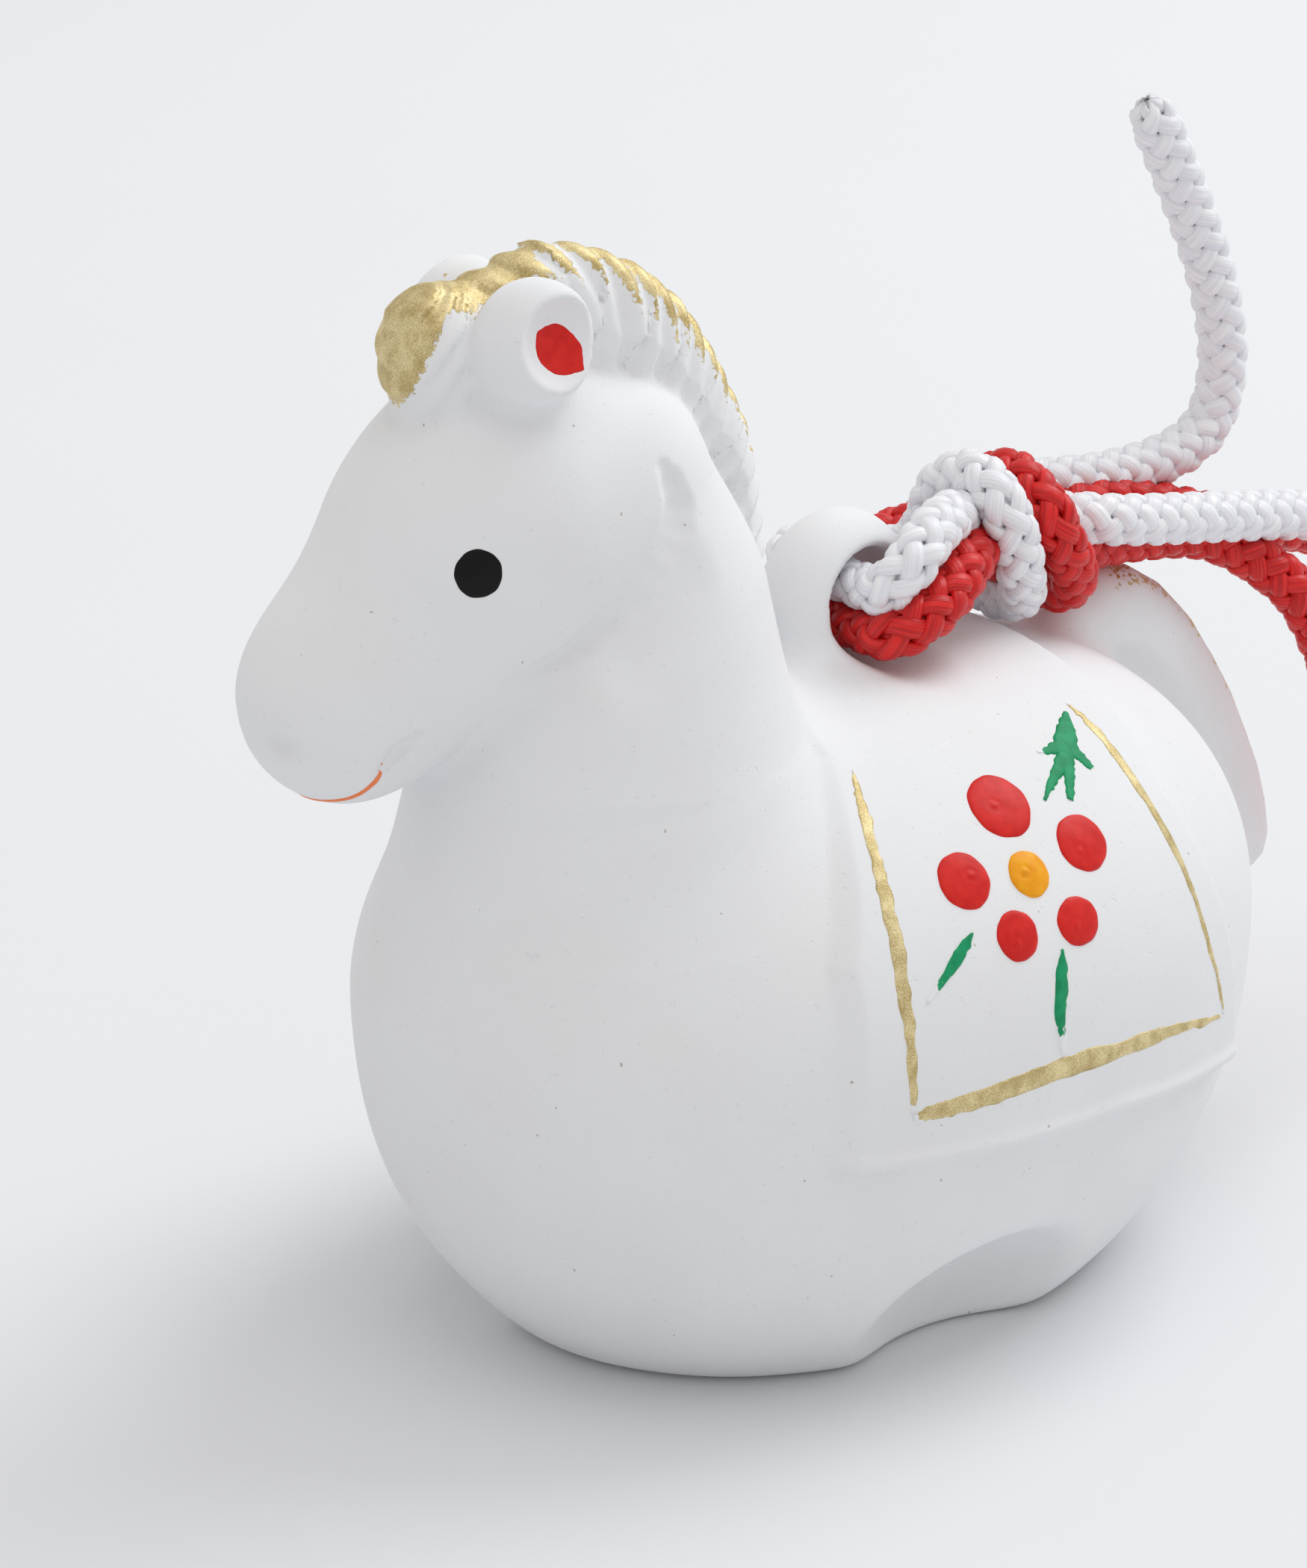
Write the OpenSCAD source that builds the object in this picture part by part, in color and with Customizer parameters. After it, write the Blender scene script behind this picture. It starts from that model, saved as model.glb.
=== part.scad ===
// Clay zodiac bell in the form of a horse: a hollow bisque body with a cord lug on its back,
// a loose clay pellet inside it, two braided cords knotted through the lug, and enamel paint.
// The horse faces -Y, its left side is +X, and it stands on z = 0. Millimetres.

/* [Body] */
// Half width of the egg-shaped body
egg_half_width = 20; // [16:0.5:24]
// Half length of the egg-shaped body
egg_half_length = 26.4; // [22:0.2:32]
// Height of the widest section above the ground
egg_middle = 18; // [16:0.5:20]
// Height of the back above the widest section
egg_up = 16.2; // [14:0.2:19]
// How far the top of the back lies behind the widest section
back_shift = 3; // [0:0.5:4]
// Depth of the full egg below the widest section, before the base is cut flat
egg_down = 23.5; // [20:0.5:26]
// Squareness of the egg: 2 is a true ellipse
egg_power = 2.12; // [2:0.02:2.4]
// Wall thickness of the bisque
wall = 3; // [2.5:0.1:4]

/* [Head and neck] */
// Turn of the head to the horse's right, degrees
head_turn = 20; // [0:1:30]
// Distance of the neck's axis ahead of the middle of the body
neck_ahead = 14; // [12:0.5:16]
// Half thickness of the mane
mane_half = 1.9; // [1.4:0.1:2.4]
// Half width of an ear
ear_size = 3.1; // [2.8:0.1:3.3]

/* [Lug and cords] */
// Height of the lug's hole above the ground
hole_height = 37; // [36.6:0.1:37.4]
// Diameter of the lug's hole
hole_d = 6; // [5.6:0.1:6.4]
// Diameter of each braided cord
cord_d = 2.4; // [2:0.1:2.5]

/* [Sound parts] */
// Diameter of the loose clay pellet
pellet_d = 8; // [6:0.5:10]
// Width of the sound slit in the base
slit_width = 3; // [2:0.1:3.8]
// Length of the sound slit in the base
slit_length = 22; // [14:1:26]

/* [Saddle cloth and enamel] */
// How far the saddle cloth stands out of the flank
cloth_rise = 0.7; // [0.4:0.1:1]
// How far an enamel dot stands out of the surface
dot_rise = 0.35; // [0.2:0.05:0.5]
// Diameter of the largest petal dot
petal_d = 3.7; // [3.2:0.1:4]
// Diameter of an eye
eye_d = 2.5; // [2:0.1:3]

/* [Hidden] */

// The body's middle lies ahead of the middle of the whole, because the tail reaches further than the head
egg_y = -2;
// How far the lug's hole lies behind the middle of the body
lug_behind = 2.2;
side_count = 36;
embed = 0.25;
up = [0, 0, 1];
left = [1, 0, 0];

// Height of the cavity floor's centre of curvature, about which the pellet rolls
roll_height = 33.3;
pellet_gap = 0.3;
pellet_rest = wall + pellet_gap + pellet_d / 2;

// ---- Vectors and sweeps ----

function unit(v) = v / norm(v);

function flat_to(v, t) = unit(v - (v * t) * t);

function directions(path) =
    [for (i = [0:len(path) - 1]) unit(path[min(i + 1, len(path) - 1)] - path[max(i - 1, 0)])];

// The first side direction carried along the path without twist
function carried(t, first, i) = i == 0 ? flat_to(first, t[0]) : flat_to(carried(t, first, i - 1), t[i]);

function section(p, side, over, half, sides) =
    [for (k = [0:sides - 1]) let(a = 360 * k / sides) p + half[0] * cos(a) * side + half[1] * sin(a) * over];

// Closed skin over equal rings of points, with flat ends
module skin(rings) {
    n = len(rings[0]);
    last = len(rings) - 1;
    walls = [for (i = [0:last - 1]) for (k = [0:n - 1])
             [i * n + k, i * n + (k + 1) % n, (i + 1) * n + (k + 1) % n, (i + 1) * n + k]];
    first_end = [for (k = [0:n - 1]) n - 1 - k];
    last_end = [for (k = [0:n - 1]) last * n + k];
    polyhedron([for (r = rings) each r], concat(walls, [first_end, last_end]));
}

// Sweeps an ellipse along a path; halves holds [across, over] at each point, across starts along first
module sweep(path, halves, first, sides) {
    t = directions(path);
    skin([for (i = [0:len(path) - 1])
          let(s = carried(t, first, i)) section(path[i], s, cross(s, t[i]), halves[i], sides)]);
}

module tube(path, radius, sides = 8, first = up) {
    sweep(path, [for (p = path) [radius, radius]], first, sides);
}

module ellipsoid(centre, radii, facets = 22) {
    translate(centre) scale(radii) sphere(1, $fn = facets);
}

// ---- The egg ----

function egg_plan(height, above, below) =
    let(h = abs(height) / (height > 0 ? above : below))
    h >= 1 ? 0 : pow(1 - pow(h, egg_power), 1 / egg_power);

// How far the egg's middle lies behind the widest section at a height above it
function egg_shift(height) = back_shift * pow(max(height, 0) / egg_up, 2);

function power_sign(v) = sign(v) * pow(abs(v), 2 / egg_power);

function egg_ring(height, grow, above, below, sides) =
    let(k = egg_plan(height, above, below))
    [for (j = [0:sides - 1]) let(a = -360 * j / sides)
     [(egg_half_width + grow) * k * power_sign(cos(a)),
      egg_y + egg_shift(height) + (egg_half_length + grow) * k * power_sign(sin(a)),
      egg_middle + height]];

// An egg that stands grow outside the body's skin and reaches below under its widest section
module egg(grow, below, sides, steps) {
    above = egg_up + grow;
    turns = [for (i = [0:steps]) -88 + 176 * i / steps];
    skin([for (a = turns) egg_ring((a > 0 ? above : below) * power_sign(sin(a)), grow, above, below, sides)]);
}

// Where the saddle cloth's face lies beside a point of the side view; y counts from the egg's middle
function flank_x(y, z) =
    let(k = egg_plan(z - egg_middle, egg_up + cloth_rise, egg_down + cloth_rise))
    let(behind = y - egg_shift(z - egg_middle))
    let(across = pow(k, egg_power) - pow(abs(behind) / (egg_half_length + cloth_rise), egg_power))
    (egg_half_width + cloth_rise) * pow(max(across, 0), 1 / egg_power);

function flank_point(q, out = 0) =
    [flank_x(q[0], q[1]), egg_y + q[0], q[1]] + out * flank_normal(q);

function flank_normal(q) =
    let(d = 0.1)
    unit([1, (flank_x(q[0] - d, q[1]) - flank_x(q[0] + d, q[1])) / (2 * d),
          (flank_x(q[0], q[1] - d) - flank_x(q[0], q[1] + d)) / (2 * d)]);

// ---- Placing ----

// The head's own frame: it faces -Y there, with the turn of the head taken out
module in_head() {
    translate([0, egg_y - neck_ahead, 0]) rotate([0, 0, -head_turn]) children();
}

module pointed(at, along) {
    translate(at) rotate([0, acos(along[2]), atan2(along[1], along[0])]) children();
}

module both_sides() {
    children();
    mirror([1, 0, 0]) children();
}

// A low dome of enamel with its foot sunk into the clay
module dome(d, rise) {
    ball = (d * d / 4 + rise * rise) / (2 * rise);
    intersection() {
        translate([0, 0, rise - ball]) sphere(ball, $fn = 96);
        translate([0, 0, -embed]) cylinder(d = d, h = embed + rise, $fn = 32);
    }
}

// A brush stroke along points of the flank's side view, widest in the middle
module stroke(points, widest) {
    n = len(points) - 1;
    path = [for (q = points) flank_point(q)];
    halves = [for (i = [0:n]) let(w = 0.3 + 0.7 * sin(180 * i / n)) [0.3, max(widest * w / 2, 0.2)]];
    sweep(path, halves, flank_normal(points[0]), 6);
}

// ---- The bisque body ----

neck_path = [[0, -13.2, 18], [0, -13.8, 26], [0, -14.8, 33], [0, -14.4, 41], [0, -16.2, 47], [0, -16.6, 51]];
neck_radii = [12.5, 11.4, 8.9, 7.5, 6.8, 4.5];

module neck(shrink) {
    last = len(neck_path) - 1 - (shrink > 0 ? 2 : 0);
    path = [for (i = [0:last]) neck_path[i] + [0, egg_y, 0]];
    sweep(path, [for (i = [0:last]) [1, 1] * (neck_radii[i] - shrink)], left, 24);
}

module head() {
    cheek = [[0, -5.7, 46], [8.2, 7.6, 8.5]];
    nose = [[0, -10, 42.6], [6.5, 6.6, 7.5]];
    muzzle = [[0, -14.9, 37.7], [5.4, 5.5, 5.6]];
    for (pair = [[cheek, nose], [nose, muzzle]])
        hull() {
            ellipsoid(pair[0][0], pair[0][1]);
            ellipsoid(pair[1][0], pair[1][1]);
        }
}

// The left ear: a round lobe with a shallow dish in its outward face
ear_at = [5, -6.6, 56.1];
ear_facing = unit([0.85, -0.4, 0.34]);

module ear() {
    difference() {
        union() {
            pointed(ear_at, ear_facing) scale([ear_size, ear_size, 2]) sphere(1, $fn = 22);
            ellipsoid([3, -6.4, 54.6], [2.6, 2.8, 2.8], 14);
        }
        pointed(ear_at + [2.1, -0.3, 0.2], ear_facing) scale([2.5, 2.5, 1.5]) sphere(1, $fn = 22);
    }
}

// Both ears; the right one was pressed on a little lower
module each_ear() {
    children();
    translate([0, 0, -1]) mirror([1, 0, 0]) children();
}

// Middle line of the mane from the forelock to the withers: [to the head's side, behind, up]
module mane() {
    path = [[-3.4, -22.6, 50.6], [-3.6, -23.3, 53.4], [-3.4, -22.8, 55.3], [-2.6, -21, 56.1], [-1.8, -18.2, 57],
            [-0.8, -15, 56.4], [0, -12.4, 54.3], [0, -9.9, 51.2], [0, -7.8, 47.2], [0, -6.8, 42.8], [0, -6.4, 38],
            [0, -6.4, 34]];
    deep = [1.6, 2.2, 2.6, 2.6, 2.7, 2.8, 2.9, 2.9, 2.7, 2.5, 2.4, 2.2];
    sweep([for (p = path) p + [0, egg_y, 0]], [for (d = deep) [mane_half, d]], left, 12);
}

// A thick disc with a foot that spreads onto the back
module lug() {
    ellipsoid([0, egg_y + lug_behind + 0.2, hole_height - 0.5], [3.5, 4.6, 5.2], 20);
    ellipsoid([0.6, egg_y + 0.4, 33.4], [5, 5.2, 1.9], 18);
}

// A round rib along the tail's outer edge, and a thinner web that joins it to the rump
module tail() {
    path = [[0, 18, 29.8], [0, 21.6, 31.1], [0, 24.3, 30.9], [0, 27.2, 28.8], [0, 30.2, 25.4], [0, 32.6, 21.4],
            [0, 34.4, 17.4], [0, 35.1, 15]];
    radii = [2, 2.1, 2.1, 2.1, 2.1, 2.1, 2.1, 1.9];
    web = [[15, 30], [22, 30.4], [27, 28], [31, 23], [34.5, 15], [34.2, 13.2], [24, 13.2], [15, 20]];
    translate([0, egg_y, 0]) {
        for (i = [0:len(path) - 2])
            hull() {
                translate(path[i]) sphere(radii[i], $fn = 14);
                translate(path[i + 1]) sphere(radii[i + 1], $fn = 14);
            }
        translate([-1.25, 0, 0]) rotate([90, 0, 90]) linear_extrude(2.5) polygon(web);
    }
}

module saddle_cloth() {
    outline = [[-15.2, 14.5], [-14.8, 20], [-13.9, 24.9], [-10.8, 29.6], [-8.2, 32.9], [-8, 40], [11.5, 40],
               [11.5, 32], [10.4, 28.5], [12.4, 22], [15, 12.2], [2.2, 13.7], [-5.3, 14]];
    intersection() {
        egg(cloth_rise, egg_down + cloth_rise, side_count, 16);
        translate([-egg_half_width - 5, egg_y, 0])
            rotate([90, 0, 90]) linear_extrude(2 * egg_half_width + 10) polygon(outline);
    }
}

// Hollows between the four feet
module foot_scoops() {
    both_sides() ellipsoid([20, egg_y - 3.9, -0.5], [8.6, 10, 8.5], 20);
    ellipsoid([-9.5, egg_y - 21.5, -0.5], [5.6, 7.5, 7], 18);
    ellipsoid([0, egg_y + 23, -1], [6, 8, 6.2], 18);
}

module sound_slit() {
    reach = (slit_length - slit_width) / 2;
    translate([-slit_width / 2, egg_y - reach, -1]) cube([slit_width, 2 * reach, 2 * wall]);
    for (end = [-reach, reach])
        translate([0, egg_y + end, -1]) cylinder(d = slit_width, h = 2 * wall, $fn = 24);
}

module cavity() {
    egg(-wall, egg_middle - wall, 28, 10);
    neck(wall);
}

module bell_body() {
    color("white")
        difference() {
            union() {
                egg(0, egg_down, side_count, 16);
                saddle_cloth();
                neck(0);
                in_head() {
                    head();
                    each_ear() ear();
                }
                mane();
                lug();
                tail();
            }
            cavity();
            foot_scoops();
            sound_slit();
            translate([-10, egg_y + lug_behind, hole_height]) rotate([0, 90, 0]) cylinder(d = hole_d, h = 20, $fn = 40);
            translate([-50, -50, -20]) cube([100, 100, 20]);
        }
}

// ---- Loose pellet and cords ----

module clay_pellet() {
    color("tan") translate([0, egg_y, pellet_rest]) sphere(d = pellet_d, $fn = 32);
}

function placed(path) = [for (p = path) p + [0, egg_y, 0]];

// Each cord runs from its upper tail through the knot, the far side of the lug, the hole and the near side
white_route = placed([
    [-2, 28.4, 58.7], [-2, 31.4, 53.6], [-2, 33.8, 49], [-2, 35.2, 45.2], [-2.2, 35.8, 41.8],
    [-2.4, 35.1, 39.2], [-2.6, 33.2, 37.9], [-2.9, 30, 37.4], [-3.2, 26, 37.5], [-4, 22.2, 37.8],
    [-4.2, 18.8, 37.4], [-3.4, 16.2, 36], [-1.6, 14.7, 34.9], [1, 13.7, 34.6], [3.3, 12.9, 35.3],
    [4.7, 11.4, 37.1], [5.2, 10.4, 39.2], [4.8, 9.7, 41.3], [3, 9.9, 42.4], [1, 10.2, 42],
    [-0.5, 10.4, 40.8], [-1.3, 10.5, 38.9], [-2.1, 9.9, 37.5], [-3.6, 7.8, 37.1], [-4.9, 5, 37.8],
    [-3.9, 2.7, 38.1], [-1.8, 2, 38.2], [1.6, 1.7, 38.2], [3.4, 1.4, 38.2], [4.6, 1.3, 38.8],
    [5.3, 2.2, 40], [4.7, 4.2, 40.9], [3.3, 7.3, 40.9], [1.5, 10.9, 39.7], [0.7, 14.2, 39],
    [1.9, 17.8, 38.3], [3.1, 22, 37.4], [3.2, 35.6, 34.7], [3.2, 44, 32.6], [3.2, 52, 30.2]]);
red_route = placed([
    [-1, 56.6, 22.6], [-1, 52, 26.8], [-1, 44, 30.8], [-1, 35, 33.6], [-1.7, 29.4, 35.5],
    [-2.1, 25.4, 36.4], [-2.3, 22, 36.3], [-2, 19.9, 35.2], [-0.4, 18.6, 34.2], [1.8, 17.7, 34.3],
    [3.4, 17, 35.2], [4.6, 15.5, 36.9], [5.1, 14.1, 38.5], [4.8, 13.5, 40.1], [3.3, 13.5, 41.2],
    [1.5, 13.9, 41.5], [-0.3, 14.5, 40.7], [-1.9, 14, 39.2], [-3, 12.2, 38.2], [-4.3, 9.6, 37.3],
    [-5.4, 6.8, 36.4], [-5.2, 4.4, 36.2], [-3.7, 2.5, 35.8], [-1.6, 2, 35.8], [1.6, 1.7, 35.8],
    [3.5, 1.4, 35.9], [4.9, 1.3, 36.2], [5.8, 2.6, 37], [5.7, 4.8, 38], [4.6, 7.4, 38.8], [2.8, 10.4, 38.6],
    [1.9, 12.8, 37], [1.4, 15.6, 36.4], [1, 19.4, 35.9], [0.7, 24.6, 35.3], [1.2, 30.2, 34.3],
    [3, 33.2, 32.5], [4.8, 35.6, 29.4], [5.4, 38.6, 22.4], [5.4, 39.4, 14]]);

module white_cord() {
    color("white") tube(white_route, cord_d / 2);
}

module red_cord() {
    color("red") tube(red_route, cord_d / 2);
}

// ---- Enamel ----

module eyes() {
    color("black") in_head() both_sides() pointed([6.65, -10.6, 45.4], unit([1, -0.45, 0.1])) dome(eye_d, dot_rise);
}

module ear_linings() {
    color("red") in_head() each_ear() pointed(ear_at + [1, 0.7, -0.2], ear_facing) dome(2.4, dot_rise);
}

module mouth_line() {
    color("orangered") in_head()
        tube([[4.9, -14.7, 35.3], [4.3, -15.1, 34.3], [3.2, -15.8, 33.3], [1.7, -17, 32.8], [0, -17.4, 32.7],
              [-1.7, -17, 32.8], [-3.2, -15.8, 33.3], [-4.3, -15.1, 34.3], [-4.9, -14.7, 35.3]], 0.3, 6);
}

module gold_border() {
    front = [[-7.4, 32.1], [-8.4, 31], [-9.8, 28.9], [-10.9, 26.3], [-11.8, 22.5], [-12, 17.5]];
    bottom = [[-12, 17.3], [-9.1, 17.4], [-2.7, 17.7], [5.4, 17.2], [12, 15.9]];
    rear = [[8, 32], [8.3, 29.1], [9, 25], [10.1, 20.7], [12, 16]];
    color("goldenrod") both_sides() {
        stroke(front, 1);
        stroke(bottom, 1.4);
        stroke(rear, 1);
    }
}

petal_places = [[-1.5, 30.1], [2.1, 27.8], [-0.3, 24.7], [-4.4, 24.9], [-6, 27.7]];

// Each petal's diameter as a share of the largest
petal_shares = [1, 0.87, 0.72, 0.69, 0.83];

module petal_dots() {
    color("crimson") both_sides() for (i = [0:4]) let(q = petal_places[i])
        pointed(flank_point(q), flank_normal(q)) dome(petal_shares[i] * petal_d, dot_rise);
}

module flower_centres() {
    q = [-2.2, 27.3];
    color("orange") both_sides() pointed(flank_point(q), flank_normal(q)) dome(0.68 * petal_d, dot_rise);
}

module leaf_strokes() {
    trunk = [[7.2, 32], [6.1, 31.6], [4.7, 31], [2.8, 30.2]];
    barb = [[3.3, 31.3], [4.7, 31.1], [5.7, 30.4]];
    left_leaf = [[-6.9, 25.5], [-8.8, 24.2], [-10.6, 22.9]];
    low_leaf = [[-1.9, 23.6], [-2.6, 21.2], [-2.7, 18.5]];
    color("seagreen") both_sides() {
        stroke(trunk, 1.2);
        stroke(barb, 0.8);
        stroke(left_leaf, 0.8);
        stroke(low_leaf, 0.9);
    }
}

bell_body();
clay_pellet();
white_cord();
red_cord();
eyes();
ear_linings();
mouth_line();
gold_border();
petal_dots();
flower_centres();
leaf_strokes();
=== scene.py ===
import math

import bpy
import numpy as np
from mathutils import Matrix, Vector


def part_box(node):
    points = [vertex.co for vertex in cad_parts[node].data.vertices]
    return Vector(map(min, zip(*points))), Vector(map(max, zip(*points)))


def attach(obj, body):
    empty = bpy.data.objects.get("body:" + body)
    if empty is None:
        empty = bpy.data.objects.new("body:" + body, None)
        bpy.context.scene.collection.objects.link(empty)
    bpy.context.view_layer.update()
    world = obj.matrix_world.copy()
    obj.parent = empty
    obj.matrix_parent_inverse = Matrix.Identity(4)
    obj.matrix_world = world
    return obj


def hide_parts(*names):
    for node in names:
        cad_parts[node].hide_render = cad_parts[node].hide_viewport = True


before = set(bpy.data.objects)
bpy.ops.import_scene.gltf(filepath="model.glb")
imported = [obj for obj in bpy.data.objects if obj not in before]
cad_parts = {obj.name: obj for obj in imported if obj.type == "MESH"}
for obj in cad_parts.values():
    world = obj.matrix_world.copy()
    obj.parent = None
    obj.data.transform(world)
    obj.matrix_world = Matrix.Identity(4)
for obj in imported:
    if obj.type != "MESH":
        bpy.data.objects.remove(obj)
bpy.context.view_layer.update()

import openvdb
from mathutils import Vector

# A clay zodiac bell in the form of a horse, 60 mm tall. Lengths here are millimetres until a mesh
# or a light is made. The horse faces -Y, its left side is +X and it stands on z = 0.
MM = 0.001

# The egg-shaped body's middle, from which the y of every part of the horse counts
EGG_Y = -2.0


def smoothstep(t):
    t = np.clip(t, 0.0, 1.0)
    return t * t * (3.0 - 2.0 * t)


def unit(v):
    return v / np.maximum(np.linalg.norm(v, axis=-1, keepdims=True), 1e-9)


def spline(a, b, c, d, t):
    """Places at t, from 0 to 1, on the smooth curve from b to c that comes from a and goes on to d."""
    return 0.5 * (2 * b + (c - a) * t + (2 * a - 5 * b + 4 * c - d) * t ** 2
                  + (3 * b - a - 3 * c + d) * t ** 3)


# ---- Camera, floor and light ----

TARGET = Vector((-11.84, -1.56, 23.87)) * MM
CAMERA_AZIMUTH = 45.0
CAMERA_ELEVATION = 20.0
CAMERA_DISTANCE = 330.0
LENS = 139.75
# The sensor's 36 mm lie along the upright frame's height
SENSOR = 36.0


def direction(azimuth, elevation):
    a, e = math.radians(azimuth), math.radians(elevation)
    return Vector((math.sin(a) * math.cos(e), -math.cos(a) * math.cos(e), math.sin(e)))


def make_camera():
    data = bpy.data.cameras.new("camera")
    data.sensor_width = SENSOR
    data.lens = LENS
    data.clip_start, data.clip_end = 0.01, 20.0
    camera = bpy.data.objects.new("camera", data)
    back = direction(CAMERA_AZIMUTH, CAMERA_ELEVATION)
    camera.location = TARGET + back * CAMERA_DISTANCE * MM
    camera.rotation_euler = (-back).to_track_quat("-Z", "Y").to_euler()
    bpy.context.collection.objects.link(camera)
    bpy.context.scene.camera = camera


def make_light(name, azimuth, elevation, distance, size, power, colour):
    data = bpy.data.lights.new(name, "AREA")
    data.shape = "DISK"
    data.size = size * MM
    data.energy = power
    data.color = colour
    light = bpy.data.objects.new(name, data)
    away = direction(azimuth, elevation)
    light.location = TARGET + away * distance * MM
    light.rotation_euler = (-away).to_track_quat("-Z", "Y").to_euler()
    bpy.context.collection.objects.link(light)


# ---- Materials ----


class Shader:
    """A node material around one Principled surface."""

    def __init__(self, name, colour, roughness, **constants):
        self.material = bpy.data.materials.new(name)
        self.material.use_nodes = True
        self.material.diffuse_color = (*colour, 1.0)
        tree = self.material.node_tree
        self.nodes, self.links = tree.nodes, tree.links
        self.surface = next(n for n in self.nodes if n.type == "BSDF_PRINCIPLED")
        self.surface.inputs["Base Color"].default_value = (*colour, 1.0)
        self.surface.inputs["Roughness"].default_value = roughness
        for key, value in constants.items():
            self.surface.inputs[key.replace("_", " ")].default_value = value
        self.place = self.add("ShaderNodeTexCoord").outputs["Object"]

    def add(self, kind, **settings):
        node = self.nodes.new(kind)
        for key, value in settings.items():
            setattr(node, key, value)
        return node

    def feed(self, socket, value):
        if hasattr(value, "is_output"):
            self.links.new(value, socket)
        else:
            socket.default_value = value

    def value(self, name):
        return self.add("ShaderNodeAttribute", attribute_name=name).outputs["Fac"]

    def noise(self, size, detail=2.0, at=None):
        """Smooth noise from 0 to 1 whose lumps are about size millimetres across."""
        node = self.add("ShaderNodeTexNoise")
        node.inputs["Scale"].default_value = 1.0 / (size * MM)
        node.inputs["Detail"].default_value = detail
        self.links.new(self.place if at is None else at, node.inputs["Vector"])
        return node.outputs["Fac"]

    def math(self, operation, *values):
        node = self.add("ShaderNodeMath", operation=operation)
        for socket, value in zip(node.inputs, values):
            self.feed(socket, value)
        return node.outputs[0]

    def ramp(self, value, low, high, to_low=0.0, to_high=1.0):
        node = self.add("ShaderNodeMapRange", interpolation_type="SMOOTHSTEP")
        for socket, v in zip(node.inputs, (value, low, high, to_low, to_high)):
            self.feed(socket, v)
        return node.outputs[0]

    def mix(self, factor, first, second):
        node = self.add("ShaderNodeMix", data_type="RGBA")
        self.feed(node.inputs["Factor"], factor)
        for socket, colour in ((node.inputs[6], first), (node.inputs[7], second)):
            self.feed(socket, colour if hasattr(colour, "is_output") else (*colour, 1.0))
        return node.outputs[2]

    def colour(self, value):
        self.links.new(value, self.surface.inputs["Base Color"])

    def rough(self, value):
        self.links.new(value, self.surface.inputs["Roughness"])

    def bump(self, height, depth):
        """Relief of depth millimetres for a height from 0 to 1."""
        node = self.add("ShaderNodeBump")
        node.inputs["Distance"].default_value = depth * MM
        old = self.surface.inputs["Normal"]
        if old.is_linked:
            self.links.new(old.links[0].from_socket, node.inputs["Normal"])
        self.links.new(height, node.inputs["Height"])
        self.links.new(node.outputs["Normal"], old)


BISQUE = (0.83, 0.84, 0.865)
WARM_BISQUE = tuple(c * s for c, s in zip(BISQUE, (0.985, 0.98, 0.972)))
SPECK = (0.52, 0.48, 0.44)
GOLD = (0.50, 0.38, 0.16)
PALE_GOLD = (0.84, 0.72, 0.42)
FLOOR = (0.785, 0.80, 0.825)


def bisque_ground(shader):
    """Fine fired grain, faint handling marks and a few specks; returns the clay's colour."""
    shader.bump(shader.noise(0.16, 3.0), 0.006)
    shader.bump(shader.noise(0.9, 2.0), 0.012)
    pits = shader.ramp(shader.noise(0.45, 2.0), 0.24, 0.31)
    shader.bump(pits, 0.02)
    tone = shader.ramp(shader.noise(6.0, 2.0), 0.35, 0.7)
    clay = shader.mix(tone, BISQUE, WARM_BISQUE)
    speck = shader.ramp(shader.noise(0.34, 0.0), 0.108, 0.096)
    return shader.mix(speck, clay, SPECK)


def gilded(shader, clay, amount):
    """Gold paint over clay where amount, from 0 to 1, beats a flaky grain."""
    flakes = shader.math("ADD", shader.math("MULTIPLY", shader.noise(0.3, 4.0), 0.65),
                         shader.math("MULTIPLY", shader.noise(1.3, 2.0), 0.35))
    over = shader.math("ADD", shader.math("MULTIPLY", amount, 0.62), flakes)
    mask = shader.ramp(over, 0.74, 0.79)
    glint = shader.math("ADD", shader.math("MULTIPLY", shader.noise(0.07, 2.0), 0.55),
                        shader.math("MULTIPLY", shader.noise(1.1, 2.0), 0.45))
    glint = shader.ramp(glint, 0.36, 0.64)
    shader.colour(shader.mix(mask, clay, shader.mix(glint, GOLD, PALE_GOLD)))
    shader.links.new(shader.math("MULTIPLY", mask, 0.7), shader.surface.inputs["Metallic"])
    shader.rough(shader.ramp(mask, 0.0, 1.0, 0.82, 0.55))
    shader.bump(mask, 0.02)
    shader.bump(shader.noise(0.09, 2.0), 0.012)


def bisque_material():
    shader = Shader("bisque", BISQUE, 0.82, Specular_IOR_Level=0.3)
    gilded(shader, bisque_ground(shader), shader.value("gild"))
    return shader.material


def gold_material():
    shader = Shader("gold_paint", GOLD, 0.4)
    gilded(shader, bisque_ground(shader), shader.value("paint"))
    return shader.material


def enamel_material(name, colour, dark, roughness, dry=False):
    """Thick paint; where dry, its thin ends break up over the clay."""
    shader = Shader(name, colour, roughness, Specular_IOR_Level=0.2)
    tint = shader.mix(shader.ramp(shader.noise(0.7, 3.0), 0.3, 0.7), colour, dark)
    if dry:
        over = shader.math("ADD", shader.value("paint"), shader.noise(0.3, 3.0))
        mask = shader.ramp(over, 0.80, 0.92)
        tint = shader.mix(mask, BISQUE, tint)
    shader.colour(tint)
    shader.bump(shader.noise(0.35, 2.0), 0.012)
    return shader.material


def clay_material():
    shader = Shader("raw_clay", (0.62, 0.48, 0.38), 0.9)
    shader.colour(shader.mix(shader.noise(1.2, 4.0), (0.66, 0.52, 0.41), (0.55, 0.41, 0.32)))
    shader.bump(shader.noise(0.3, 4.0), 0.03)
    return shader.material


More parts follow.
